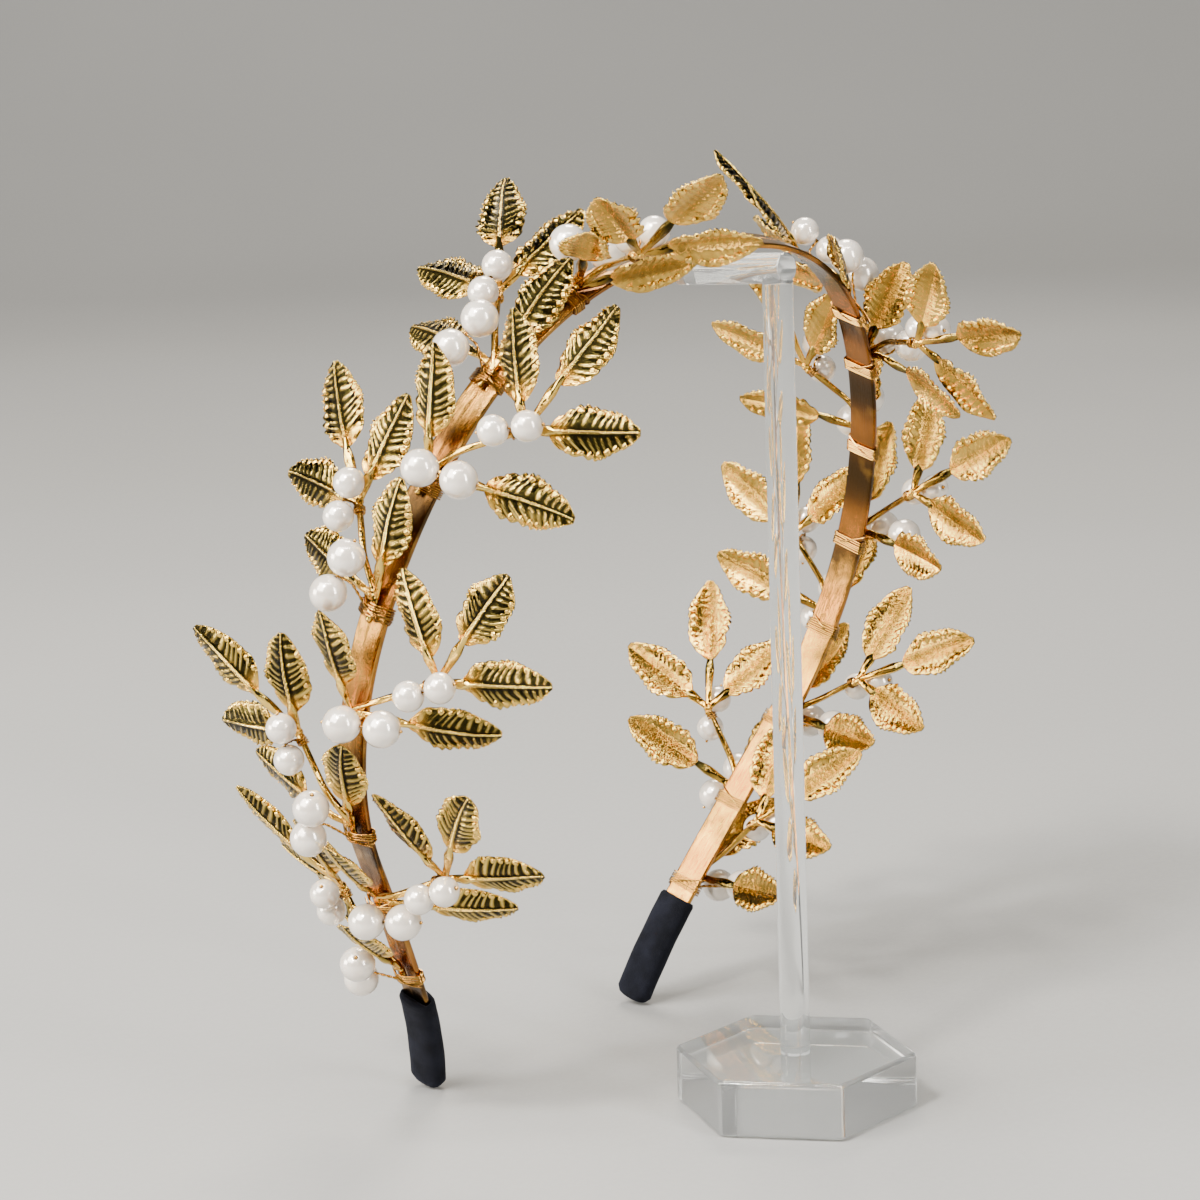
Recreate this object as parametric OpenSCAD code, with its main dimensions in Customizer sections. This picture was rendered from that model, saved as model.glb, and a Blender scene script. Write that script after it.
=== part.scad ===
// Leaf and pearl headband resting on a clear display stand.
// A flat metal hoop carries sixteen sprigs, each with five leaves and two pairs of pearls.
// Frame: millimetres, +Z up, origin at the middle of the underside of the stand's base.
// The hoop's width runs along X, and its crown rests on the stand's arm, which runs along +Y.

/* [Hoop] */
// Width of the flat band, front to back
band_w = 5.5; // [4.5:0.5:7]
// Thickness of the band
band_t = 1.0; // [0.8:0.1:1.4]
// How far the hoop leans back from upright, in degrees
hoop_lean = 16.5; // [14:0.5:19]
// Distance of the hoop's tips behind the post
tip_back = 58; // [56:1:60]
// Height of the band's ends above the floor, measured up the hoop
tip_up = 4; // [3.8:0.1:5]
// Distance of the hoop's middle to the left of the post
hoop_side = 1; // [0:0.5:3]

/* [Tip covers] */
// Length of each velvet cover along the band
cover_len = 17; // [14:1:20]
// Width of a cover
cover_w = 7.0; // [6.5:0.5:8]
// Thickness of a cover
cover_t = 4.2; // [3.6:0.2:5]
// Length of a cover past the end of the band
cover_foot = 3.4; // [3:0.1:3.4]

/* [Sprigs] */
// Length of a leaf blade
leaf_len = 15; // [14:0.5:16]
// Width of a leaf blade
leaf_w = 8; // [7:0.2:9]
// Thickness of the leaf metal
leaf_t = 0.6; // [0.5:0.1:0.8]
// Thickness of a sprig's main stem
stem_d = 1.2; // [1:0.1:1.4]
// Thickness of a leaf stalk
stalk_d = 0.9; // [0.8:0.1:1.1]

/* [Pearls] */
// Diameter of the large pearls at the foot of a sprig
big_d = 6.0; // [5.4:0.2:6]
// Diameter of the small pearls at its fork
small_d = 5.0; // [4.4:0.2:5]
// Diameter of the wire that holds them
wire_d = 0.3; // [0.3:0.05:0.35]
// Diameter of the hole drilled through a pearl
hole_d = 0.6; // [0.6:0.1:0.8]

/* [Stand] */
// Size of the hexagonal base, centre to corner
base_r = 20.5; // [18:0.5:24]
// Thickness of the base
base_h = 9.5; // [8:0.5:12]
// Turn of the base about the post, in degrees
base_turn = -1; // [-10:1:10]
// Depth of the post's socket in the base
socket = 2; // [1:0.5:4]
// Diameter of the post and of the arm
rod_d = 5.0; // [4:0.5:6]
// Reach of the arm behind the post
arm_back = 20; // [18:1:24]
// Reach of the arm in front of the post
arm_front = 2; // [2:0.5:6]
// Droop of the arm towards its far end, in degrees
arm_droop = 4; // [0:0.5:6]

/* [Hidden] */
// Clearance between neighbouring pieces
gap = 0.1;
$fn = 32;

// Half of the hoop from the crown down: a row for each arc
// length of the arc, turn of the arc in degrees
HALF = [
    [15, 7],
    [45, 50],
    [35, 26],
    [45, 40],
    [34, -3],
    [19, -12]
];

// One row for each sprig, numbered from the tip of the left half to the tip of the right half
// half of the hoop (-1 left, 1 right), edge of the band (1 front, -1 back), length from the crown,
// swing of the stem, of the first leaf and of the fan of leaves, roll outwards, pitch,
// turn of each pair of pearls
SPRIGS = [
    // half edge  from  stem first   fan  roll pitch   big small
    [   -1,  -1,  167,   -5,   12,   15,   10,   -5,  -15,   -5],
    [   -1,   1,  148,   12,    8,  -18,   -3,    0,   85,   60],
    [   -1,  -1,  130,   -3,    0,   16,   18,   10,  -10,   15],
    [   -1,   1,  108,   10,    0,  -14,   -4,   -5,   85,   60],
    [   -1,  -1,   89,    0,    5,    3,    5,    5,  -10,    5],
    [   -1,   1,   68,    0,    0,  -20,    4,  -12,   85,   60],
    [   -1,  -1,   49,   -6,    0,    0,    7,    0,  -10,   15],
    [   -1,   1,   30,   12,   17,   27,   74,   52,  -14,   48],
    [    1,  -1,   51,   47,   -2,   17,   33,   13,   -3,   53],
    [    1,   1,   64,    8,   26,   26,   14,    0,   70,   60],
    [    1,  -1,   82,   -5,   20,  -12,    5,    5,  -28,   10],
    [    1,   1,  101,   -3,    0,    6,    7,   -4,   80,   60],
    [    1,  -1,  118,    0,   14,  -20,    9,    0,  -10,   15],
    [    1,   1,  137,    0,    4,   10,    5,    5,   80,   60],
    [    1,  -1,  154,    4,   16,   -8,   -3,   -3,  -10,   15],
    [    1,   1,  171,  -15,   18,   -5,    3,    3,   70,   60]
];

// The leaves of a sprig
// from the foot (0), the elbow (1) or the fork (2), heading away from the band, rise, stalk length
LEAVES = [
    // from heading  rise stalk
    [   0,     -5,    22, 5.5],
    [   2,    -10,     8,   4],
    [   2,     38,    -3,   9],
    [   2,     90,   -12,   4],
    [   1,     85,   -22, 6.5]
];

// Sections of a leaf blade
// place along the blade, half width and drop of the margin, as parts of the whole
BLADE = [
    // along  half   drop
    [ 0.00,  0.12,  0.02],
    [ 0.10,  0.56,  0.40],
    [ 0.28,  0.92,  0.85],
    [ 0.48,  1.00,  1.00],
    [ 0.68,  0.80,  0.90],
    [ 0.86,  0.46,  0.50],
    [ 1.00,  0.06,  0.05]
];

// Drop of a leaf's margin below its middle, bow of its tip, and height of its midrib
leaf_cup = 1.3;
leaf_bow = 1.6;
rib_h = 0.35;

// Points along a sprig's stem, seen from its foot: up the band, out past its edge, outwards
ELBOW = [0.6, 3.4, 0];
BEND = [5, 4.6, 0.2];
FORK = [11.6, 11.8, -4.2];
// Height of the foot above the band's middle, and its length down the band
foot_out = band_t / 2 + gap + stem_d / 2;
foot_len = 3.6;
// Middles of the two pairs of pearls: the large from the foot, the small from the fork
BIG_AT = [1.2, 5.6, 3.9];
SMALL_AT = [0, 0.4, 3.8];
// Middle of the wire tie round the foot, the width of one of its turns, and its clearance round the band
tie_at = -2.1;
tie_step = 0.7;
tie_gap = 0.2;
// Height at which the thread of the large pearls meets that tie
tie_top = 1.2 * stem_d / 2 + gap + wire_d / 2;
// Distance of the wire ring on the stem from the fork, and the radius of its middle line
ring_back = 1.6;
ring_r = stem_d / 2 + 2 * gap + wire_d / 2;
// Space between the two pearls of a pair, and the tilt of a pair that lies across the band
pair_gap = 0.5;
pair_tilt = -25;

function run_of(i) = i < 0 ? 0 : HALF[i][0] + run_of(i - 1);
half_len = run_of(len(HALF) - 1);

// A step along an arc from [x, z, heading]; a heading of 0 runs away from the crown along X
function arc_step(p, len, turn) =
    let(r = len / (turn * PI / 180), chord = 2 * r * sin(turn / 2), h = p[2] + turn / 2)
    [p[0] + chord * cos(h), p[1] - chord * sin(h), p[2] + turn];
function arc_end(i) = i == 0 ? [0, 0, 0] : arc_step(arc_end(i - 1), HALF[i - 1][0], HALF[i - 1][1]);
// The place and heading at a length from the crown; past the end the last arc runs on
function hoop_walk(u, i = 0) =
    u <= HALF[i][0] || i == len(HALF) - 1
        ? (u < 0.001 ? arc_end(i) : arc_step(arc_end(i), u, HALF[i][1] * u / HALF[i][0]))
        : hoop_walk(u - HALF[i][0], i + 1);

crown_up = tip_up - arc_end(len(HALF))[1];

// A point of the hoop's plane at a length from the crown (negative on the left half),
// moved outwards from the band's middle and towards its front edge
function band_point(u, out, front) =
    let(p = hoop_walk(abs(u)), half = u < 0 ? -1 : 1)
    [half * (p[0] + out * sin(p[2])), -front, crown_up + p[1] + out * cos(p[2])];

// Height of the arm's middle above the post, where the crown's front edge stands on it
edge_z = crown_up * cos(hoop_lean) - band_t / 2 * cos(hoop_lean) - band_w / 2 * sin(hoop_lean);
edge_y = tip_back - crown_up * sin(hoop_lean) + band_t / 2 * sin(hoop_lean) - band_w / 2 * cos(hoop_lean);
arm_z = edge_z + edge_y * tan(arm_droop) - rod_d / 2 / cos(arm_droop) - gap;

// A closed skin over a list of rings that all have the same number of points
module skin(rings) {
    n = len(rings[0]);
    last = (len(rings) - 1) * n;
    polyhedron(
        points = [for (ring = rings) each ring],
        faces = concat(
            [for (k = [1 : n - 2]) [0, k + 1, k]],
            [for (i = [1 : len(rings) - 1], k = [0 : n - 1])
                let(a = (i - 1) * n + k, b = (i - 1) * n + (k + 1) % n)
                each [[a, b, b + n], [a, b + n, a + n]]],
            [for (k = [1 : n - 2]) [last, last + k, last + k + 1]]
        )
    );
}

// Stands its children up from the plane of the hoop
module lean_back() {
    translate([-hoop_side, tip_back, 0])
        rotate([hoop_lean, 0, 0])
            children();
}

// A rectangle with cut corners as points, outwards by towards the front
function bar_section(t, w, cut) = [
    [-t / 2, cut - w / 2], [cut - t / 2, -w / 2],
    [t / 2 - cut, -w / 2], [t / 2, cut - w / 2],
    [t / 2, w / 2 - cut], [t / 2 - cut, w / 2],
    [cut - t / 2, w / 2], [-t / 2, w / 2 - cut]
];
function band_ring(u, section) = [for (q = section) band_point(u, q[0], q[1])];

// The flat metal hoop, one strip from tip to tip
module band() {
    steps = 64;
    section = bar_section(band_t, band_w, 0.25);
    color("goldenrod")
        lean_back()
            skin([for (i = [0 : steps]) band_ring((1 - 2 * i / steps) * half_len, section)]);
}

// A velvet sleeve over one end of the band, with a rounded foot and a pocket for the metal
module tip_cover(half) {
    // Rings from the foot up the outside, then down the pocket: length past the band's end, size
    outside = [[cover_foot, 0.55], [cover_foot - 0.4, 0.85], [cover_foot - 1.3, 1], [-4, 1], [-8, 1],
        [-12, 1], [-cover_len + 0.3, 1], [-cover_len, 0.9]];
    pocket = [-cover_len, -12, -8, -4, 0.1];
    rings = concat(
        [for (r = outside)
            band_ring(half * (half_len + r[0]), bar_section(cover_t * r[1], cover_w * r[1], 1.1))],
        [for (at = pocket)
            band_ring(half * (half_len + at), bar_section(band_t + 2 * gap, band_w + 2 * gap, 0.2))]
    );
    color("black")
        lean_back()
            skin(half > 0 ? rings : [for (ring = rings) [for (k = [7 : -1 : 0]) ring[k]]]);
}
module tip_cover_left() { tip_cover(-1); }
module tip_cover_right() { tip_cover(1); }

// Places its children at a length along one half: X towards the crown, Y past the edge, Z outwards
module on_band(row) {
    half = row[0];
    p = hoop_walk(row[2]);
    lean_back()
        multmatrix([
            [-half * cos(p[2]), 0, half * sin(p[2]), half * p[0]],
            [0, -row[1], 0, 0],
            [sin(p[2]), 0, cos(p[2]), crown_up + p[1]]
        ])
            translate([0, 0, foot_out])
                children();
}

// Turns its children about the foot of a sprig, as the maker bent it
module bent(row) {
    on_band(row)
        rotate([row[6], 0, 0])
            rotate([0, row[7], 0])
                children();
}

function swing(p, a) = [p[0] * cos(a) - p[1] * sin(a), p[0] * sin(a) + p[1] * cos(a), p[2]];
// A point of the band as it lies before the maker's bend, so that bent() brings it back to its place
function unbent(row, p) =
    let(y = p[1] * cos(row[6]) + p[2] * sin(row[6]), z = p[2] * cos(row[6]) - p[1] * sin(row[6]))
    [p[0] * cos(row[7]) - z * sin(row[7]), y, z * cos(row[7]) + p[0] * sin(row[7])];
function unit(v) = v / norm(v);
// The part of a vector that stands square to an axis, at length 1
function square_to(axis, v) = unit(v - (v * axis) * axis);

// A bar with round ends between two points, from few faces
module stalk(a, b, d) {
    hull() {
        translate(a) sphere(d = 1.2 * d, $fn = 4);
        translate(b) sphere(d = 1.2 * d, $fn = 4);
    }
}

// One leaf blade: domed, with a raised midrib, running along X from a narrow base to its tip
module blade() {
    skin([for (row = BLADE)
        let(x = row[0] * leaf_len, half = row[1] * leaf_w / 2, low = row[2] * leaf_cup,
            bow = leaf_bow * row[0] * row[0], rib = rib_h * (1 - row[0] / 2))
        [for (q = [
            [-1, -low], [-0.5, -low / 4], [0, rib], [0.5, -low / 4], [1, -low], [0, -leaf_t]
        ]) [x, q[0] * half, q[1] - bow]]]);
}

module leaf(start, heading, rise, length) {
    translate(start)
        rotate([0, -rise, heading]) {
            stalk([0, 0, 0], [length + 0.6, 0, -leaf_t / 2], stalk_d);
            translate([length, 0, 0]) blade();
        }
}

// A soldered sprig: a foot that lies on the band, a forked stem and five leaves
module sprig(row) {
    fork = swing(FORK, row[3]);
    bend = swing(BEND, row[3]);
    starts = [[0, 0, 0], ELBOW, fork];
    swings = [row[4], row[3] / 2, row[5]];
    color("gold") {
        on_band(row) stalk([-foot_len, 0, 0], [0, 0, 0], stem_d);
        bent(row) {
            stalk([0, 0, 0], bend, stem_d);
            stalk(bend, fork, stem_d);
            stalk([0, 0, 0], ELBOW, stalk_d);
            for (lf = LEAVES)
                leaf(starts[lf[0]], lf[1] + swings[lf[0]], lf[2], lf[3]);
        }
    }
}

// The direction from one pearl of a pair to the other
function pair_axis(turn) =
    let(tilt = pair_tilt * sin(turn))
    [cos(tilt) * cos(turn), cos(tilt) * sin(turn), sin(tilt)];

// Lays its children, drawn along Z, along a direction
module along(v) {
    rotate([0, acos(v[2] / norm(v)), atan2(v[1], v[0])])
        children();
}

// Two drilled pearls side by side
module pearl_pair(at, axis, d) {
    for (side = [-1, 1])
        translate(at + side * (d + pair_gap) / 2 * axis)
            along(axis)
                difference() {
                    sphere(d = d);
                    cylinder(d = hole_d, h = d + 1, center = true);
                }
}

module pearls(row) {
    color("ivory")
        bent(row) {
            pearl_pair(BIG_AT, pair_axis(row[8]), big_d);
            pearl_pair(swing(FORK, row[3]) + SMALL_AT, pair_axis(row[9]), small_d);
        }
}

module wire(a, b) {
    translate(a) along(b - a) cylinder(d = wire_d, h = norm(b - a));
}

// The thread through a pair, and its tail from between the pearls to a tie
module thread(at, axis, d, tie) {
    reach = (d + pair_gap) / 2 + d / 2 + 0.3;
    drop = at + (d / 2 - 0.4) * square_to(axis, tie - at);
    wire(at - reach * axis, at + reach * axis);
    wire(at, drop);
    translate(drop) sphere(d = wire_d + 0.1);
    wire(drop, tie);
}

// Three turns wound round the band and the foot of a sprig
module band_tie() {
    low = -foot_out - band_t / 2 - tie_gap;
    high = tie_top - wire_d / 2;
    wide = band_w + 2 * tie_gap;
    for (i = [0 : 2])
        translate([tie_at + (i - 1) * tie_step, 0, (low + high) / 2])
            difference() {
                cube([tie_step + 0.2 * (i % 2), wide + 2 * wire_d, high - low + 2 * wire_d], center = true);
                cube([2 * tie_step, wide, high - low], center = true);
            }
}

// A ring of wire round the stem, just short of the fork
module fork_tie(fork, bend) {
    translate(fork + ring_back * unit(bend - fork))
        along(bend - fork)
            rotate_extrude()
                translate([ring_r, 0])
                    circle(d = wire_d, $fn = 16);
}

// The two wires of a sprig: one ties the large pearls to the band, one the small to the fork
module wires(row) {
    fork = swing(FORK, row[3]);
    bend = swing(BEND, row[3]);
    back = unit(bend - fork);
    small_at = fork + SMALL_AT;
    ring_at = fork + ring_back * back;
    color("peru") {
        on_band(row) band_tie();
        bent(row) {
            thread(BIG_AT, pair_axis(row[8]), big_d, unbent(row, [tie_at, 0, tie_top]));
            fork_tie(fork, bend);
            thread(small_at, pair_axis(row[9]), small_d,
                ring_at + ring_r * square_to(back, small_at - ring_at));
        }
    }
}

// The clear base: a thick hexagonal block with a shallow socket for the post
module stand_base() {
    color("lightcyan", 0.5)
        difference() {
            rotate(base_turn)
                cylinder(r = base_r, h = base_h, $fn = 6);
            translate([0, 0, base_h - socket])
                cylinder(d = rod_d + 2 * gap, h = socket + 1);
        }
}

// The clear post, hollowed at its top to seat the arm
module stand_post() {
    color("lightcyan", 0.5)
        difference() {
            translate([0, 0, base_h - socket + gap]) cylinder(d = rod_d, h = arm_z - base_h + socket);
            translate([0, 0, arm_z])
                rotate([90 - arm_droop, 0, 0])
                    cylinder(d = rod_d + 2 * gap, h = 2 * rod_d, center = true);
        }
}

// The clear arm that carries the crown
module stand_arm() {
    color("lightcyan", 0.5)
        translate([0, 0, arm_z])
            rotate([90 - arm_droop, 0, 0])
                translate([0, 0, -arm_back])
                    cylinder(d = rod_d, h = arm_back + arm_front);
}

stand_base();
stand_post();
stand_arm();
band();
tip_cover_left();
tip_cover_right();
for (i = [0 : len(SPRIGS) - 1]) {
    sprig(SPRIGS[i]);
    pearls(SPRIGS[i]);
    wires(SPRIGS[i]);
}
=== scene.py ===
# %% [markdown]
# A leaf headband on its clear stand
#
# The object is a gold hoop for the hair. Sixteen sprigs are bound to it with thin wire, each with five cast
# leaves and two pairs of pearls. It stands on two velvet-covered tips and leans on the arm of a clear stand.
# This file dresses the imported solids: every new piece is a surface worked out with numpy in their frame.

# %% Load the frame
from collections import namedtuple
from math import pi

import bpy
import numpy as np
from mathutils import Matrix


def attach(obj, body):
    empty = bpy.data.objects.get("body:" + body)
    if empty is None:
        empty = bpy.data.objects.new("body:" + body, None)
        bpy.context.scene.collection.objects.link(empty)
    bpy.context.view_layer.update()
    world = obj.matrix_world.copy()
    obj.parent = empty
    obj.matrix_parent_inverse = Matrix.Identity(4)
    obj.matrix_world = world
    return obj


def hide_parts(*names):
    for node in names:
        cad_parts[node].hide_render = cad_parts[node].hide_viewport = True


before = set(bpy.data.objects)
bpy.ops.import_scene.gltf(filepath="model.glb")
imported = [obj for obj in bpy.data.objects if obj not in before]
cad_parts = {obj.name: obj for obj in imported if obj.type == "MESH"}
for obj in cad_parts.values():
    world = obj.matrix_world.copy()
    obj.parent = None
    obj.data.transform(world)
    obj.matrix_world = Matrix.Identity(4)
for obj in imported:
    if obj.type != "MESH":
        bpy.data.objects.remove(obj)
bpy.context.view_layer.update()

# %% [markdown]
# The camera comes first, because everything else is judged through it. It looks 12 degrees down at the hoop
# from its left half, with a long lens, and its frame is tilted by 2 degrees.

# %% Camera
CAMERA_AT = (-0.4819, -0.3719, 0.2166)
CAMERA_HEADING, CAMERA_DOWN, CAMERA_TILT = -49.5, 12.0, -1.93
SENSOR_MM, LENS_MM = 36, 114.3


def turn(axis, degrees):
    """The 3 x 3 matrix that turns about X, Y or Z by the right-hand rule."""
    c, s = np.cos(np.radians(degrees)), np.sin(np.radians(degrees))
    i, j = [(1, 2), (2, 0), (0, 1)]["XYZ".index(axis)]
    m = np.eye(3)
    m[i, i], m[i, j], m[j, i], m[j, j] = c, -s, s, c
    return m


def placed(rotation, at=(0, 0, 0)):
    """A 4 x 4 matrix from a 3 x 3 one and a place."""
    m = np.eye(4)
    m[:3, :3] = rotation
    m[:3, 3] = at
    return m


def linked(name, data):
    """A new object of this data, in the scene."""
    made = bpy.data.objects.new(name, data)
    bpy.context.scene.collection.objects.link(made)
    return made


camera_data = bpy.data.cameras.new("camera")
camera_data.sensor_width = SENSOR_MM
camera_data.lens = LENS_MM
camera_data.clip_start = 0.01
camera = linked("camera", camera_data)
look = turn("Z", CAMERA_HEADING) @ turn("X", 90 - CAMERA_DOWN) @ turn("Z", CAMERA_TILT)
camera.matrix_world = Matrix(placed(look, CAMERA_AT).tolist())
bpy.context.scene.camera = camera
print("camera looks along", np.round(-look[:, 2], 3).tolist())

# %% [markdown]
# The sizes are those of the source, in millimetres. The hoop is a row of arcs from the crown down, so a
# place on it is a length from the crown, and each sprig is one row of a table.

# %% Sizes of the hoop, the sprigs and the stand
MM = 0.001
BAND_W, BAND_T = 5.5, 1.0
HOOP_LEAN, TIP_BACK, TIP_UP, HOOP_SIDE = 16.5, 58, 4, 1
COVER_LEN, COVER_W, COVER_T, COVER_FOOT = 17, 7.0, 4.2, 3.4
LEAF_LEN, LEAF_W, STEM_D = 15, 8, 1.2
BIG_D, SMALL_D, WIRE_D, HOLE_D, GAP = 6.0, 5.0, 0.3, 0.6, 0.1
BASE_R, BASE_H, BASE_TURN, SOCKET = 20.5, 9.5, -1, 2
ROD_D, ARM_BACK, ARM_FRONT, ARM_DROOP = 5.0, 20, 2, 4

# length of each arc, turn of each arc in degrees
HALF = np.array([[15, 7], [45, 50], [35, 26], [45, 40], [34, -3], [19, -12]], float)

Sprig = namedtuple("Sprig", "half edge start stem first fan roll pitch big small")
SPRIGS = [Sprig(*row) for row in (
    (-1, -1, 167, -5, 12, 15, 10, -5, -15, -5),
    (-1, 1, 148, 12, 8, -18, -3, 0, 85, 60),
    (-1, -1, 130, -3, 0, 16, 18, 10, -10, 15),
    (-1, 1, 108, 10, 0, -14, -4, -5, 85, 60),
    (-1, -1, 89, 0, 5, 3, 5, 5, -10, 5),
    (-1, 1, 68, 0, 0, -20, 4, -12, 85, 60),
    (-1, -1, 49, -6, 0, 0, 7, 0, -10, 15),
    (-1, 1, 30, 12, 17, 27, 74, 52, -14, 48),
    (1, -1, 51, 47, -2, 17, 33, 13, -3, 53),
    (1, 1, 64, 8, 26, 26, 14, 0, 70, 60),
    (1, -1, 82, -5, 20, -12, 5, 5, -28, 10),
    (1, 1, 101, -3, 0, 6, 7, -4, 80, 60),
    (1, -1, 118, 0, 14, -20, 9, 0, -10, 15),
    (1, 1, 137, 0, 4, 10, 5, 5, 80, 60),
    (1, -1, 154, 4, 16, -8, -3, -3, -10, 15),
    (1, 1, 171, -15, 18, -5, 3, 3, 70, 60),
)]

Leaf = namedtuple("Leaf", "root heading rise stalk")
LEAVES = [Leaf(*row) for row in (
    # root: 0 foot, 1 elbow, 2 fork; heading; rise; length of the stalk
    (0, -5, 22, 5.5), (2, -10, 8, 4), (2, 38, -3, 9), (2, 90, -12, 4), (1, 85, -22, 6.5),
)]
ELBOW, BEND, FORK = np.array([0.6, 3.4, 0]), np.array([5, 4.6, 0.2]), np.array([11.6, 11.8, -4.2])
BIG_AT, SMALL_AT = np.array([1.2, 5.6, 3.9]), np.array([0, 0.4, 3.8])
FOOT_OUT, FOOT_LEN = BAND_T / 2 + GAP + STEM_D / 2, 3.6
TIE_AT, RING_BACK, PAIR_GAP, PAIR_TILT = -2.1, 1.6, 0.5, -25
print("sprigs:", len(SPRIGS), "leaves:", len(SPRIGS) * len(LEAVES))

# %% [markdown]
# A place on the hoop comes from adding arcs end to end. An arc of length L and turn T has the radius L / T,
# and its chord leaves at half the turn, so a whole array of lengths can be placed without a loop.

# %% The hoop's middle line
ARC_TURN = np.radians(HALF[:, 1])
ARC_START = np.concatenate([[0], np.cumsum(HALF[:, 0])])[:-1]
ARC_HEADING = np.concatenate([[0], np.cumsum(ARC_TURN)])[:-1]
HALF_LEN = HALF[:, 0].sum()


def stacked(*parts):
    """Arrays stretched to one shape and stacked along a new last axis."""
    return np.stack(np.broadcast_arrays(*parts), -1)


def carried(matrix, points):
    """Points carried by a 4 x 4 matrix."""
    return np.asarray(points, float) @ matrix[:3, :3].T + matrix[:3, 3]


def run_of(path):
    """The length run along a path at each of its points."""
    return np.concatenate([[0], np.cumsum(np.linalg.norm(np.diff(path, axis=0), axis=1))])


def arc_chord(index, along):
    """Chord of arc number index after a length along: 2 r sin(turn / 2) at the heading plus half the turn."""
    bend = ARC_TURN[index] * along / HALF[index, 0]
    chord = 2 * HALF[index, 0] / ARC_TURN[index] * np.sin(bend / 2)
    heading = ARC_HEADING[index] + bend / 2
    return stacked(chord * np.cos(heading), -chord * np.sin(heading)), ARC_HEADING[index] + bend


ARC_PLACE = np.vstack([[0, 0], np.cumsum([arc_chord(i, HALF[i, 0])[0] for i in range(len(HALF))], 0)])
CROWN_UP = TIP_UP - ARC_PLACE[-1, 1]


def hoop_walk(length):
    """Place [x, z] and heading at a length from the crown, as arrays."""
    length = np.asarray(length, float)
    index = np.clip(np.searchsorted(ARC_START, length, "right") - 1, 0, len(HALF) - 1)
    step, heading = arc_chord(index, length - ARC_START[index])
    return ARC_PLACE[index] + step, heading


def lean_back(points):
    """Stands points up from the plane of the hoop: a turn about X, then a shift behind the post."""
    return points @ turn("X", HOOP_LEAN).T + [-HOOP_SIDE, TIP_BACK, 0]


def band_points(length, out, front):
    """Points beside the band's middle line, moved outwards by out and frontwards by front."""
    place, heading = hoop_walk(np.abs(length))
    side = np.where(np.asarray(length) < 0, -1, 1)
    x = side * (place[..., 0] + out * np.sin(heading))
    z = CROWN_UP + place[..., 1] + out * np.cos(heading)
    return lean_back(stacked(x, -front, z))


def sprig_foot(row):
    """Frame of a sprig's foot: X to the crown, Y past the edge of the band, Z outwards."""
    place, heading = hoop_walk(row.start)
    c, s = np.cos(heading), np.sin(heading)
    axes = np.array([[-row.half * c, 0, row.half * s], [0, -row.edge, 0], [s, 0, c]])
    at = np.array([row.half * place[0], 0, CROWN_UP + place[1]]) + axes[:, 2] * FOOT_OUT
    lean = turn("X", HOOP_LEAN)
    return placed(lean @ axes, lean @ at + [-HOOP_SIDE, TIP_BACK, 0])


def bent(row):
    """Frame of a sprig bent about its foot: first rolled, then pitched."""
    return sprig_foot(row) @ placed(turn("X", row.roll) @ turn("Y", row.pitch))


print("half of the hoop is", HALF_LEN, "mm long, the crown is", round(float(CROWN_UP), 1), "mm up")

# %% [markdown]
# Every piece is made of skins. A skin is a row of closed rings, with a pole at each end, so it is shut and
# has an inside. If a ring runs anticlockwise seen from the skin's far end, the faces point outwards.

# %% Skins, joined and placed
Skin = namedtuple("Skin", "points quads tris tone root uv")


def skin(rings, tone=1.0, root=0.0, uv=None, loop=False):
    """Faces over rings [n, m, 3] and a fan to a pole at each end, or back to the first ring for a loop.

    tone, root and uv ride along, a value for each point or one for all.
    """
    n, m = rings.shape[:2]
    last = (n - 1) * m
    j = np.arange(m)
    k = (j + 1) % m
    first = np.arange(0, last, m)[:, None]
    a, b = (first + j).ravel(), (first + k).ravel()
    quads = stacked(a, b, b + m, a + m)
    tris = np.concatenate([stacked(n * m, k, j), stacked(n * m + 1, last + j, last + k)])

    def with_poles(values, width):
        grid = np.broadcast_to(np.asarray(values, float).reshape(np.shape(values) or (1, 1)), (n, m) + width)
        return np.concatenate([grid.reshape((n * m,) + width), [grid[0].mean(0)], [grid[-1].mean(0)]])

    if uv is None:
        uv = stacked(np.arange(n)[:, None] / n, j / m)
    parts = [with_poles(rings, (3,)), with_poles(tone, ()), with_poles(root, ()), with_poles(uv, (2,))]
    if loop:
        back = stacked(last + j, last + k, k, j)
        quads, tris, parts = np.concatenate([quads, back]), tris[:0], [values[:-2] for values in parts]
    return Skin(parts[0], quads, tris, *parts[1:])


def triangles(part):
    """How many triangles a skin has."""
    return 2 * len(part.quads) + len(part.tris)


def joined(skins):
    """One skin from many: the points one after another, the faces counted on."""
    base = np.cumsum([0] + [len(s.points) for s in skins])[:-1]
    return Skin(np.concatenate([s.points for s in skins]),
                np.concatenate([s.quads + k for s, k in zip(skins, base)]),
                np.concatenate([s.tris + k for s, k in zip(skins, base)]),
                *(np.concatenate([getattr(s, name) for s in skins]) for name in ("tone", "root", "uv")))


def moved(part, matrix):
    """A skin carried by a 4 x 4 matrix. A mirroring matrix turns the faces round again."""
    points = carried(matrix, part.points)
    if np.linalg.det(matrix[:3, :3]) > 0:
        return part._replace(points=points)
    return part._replace(points=points, quads=part.quads[:, ::-1], tris=part.tris[:, ::-1])


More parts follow.
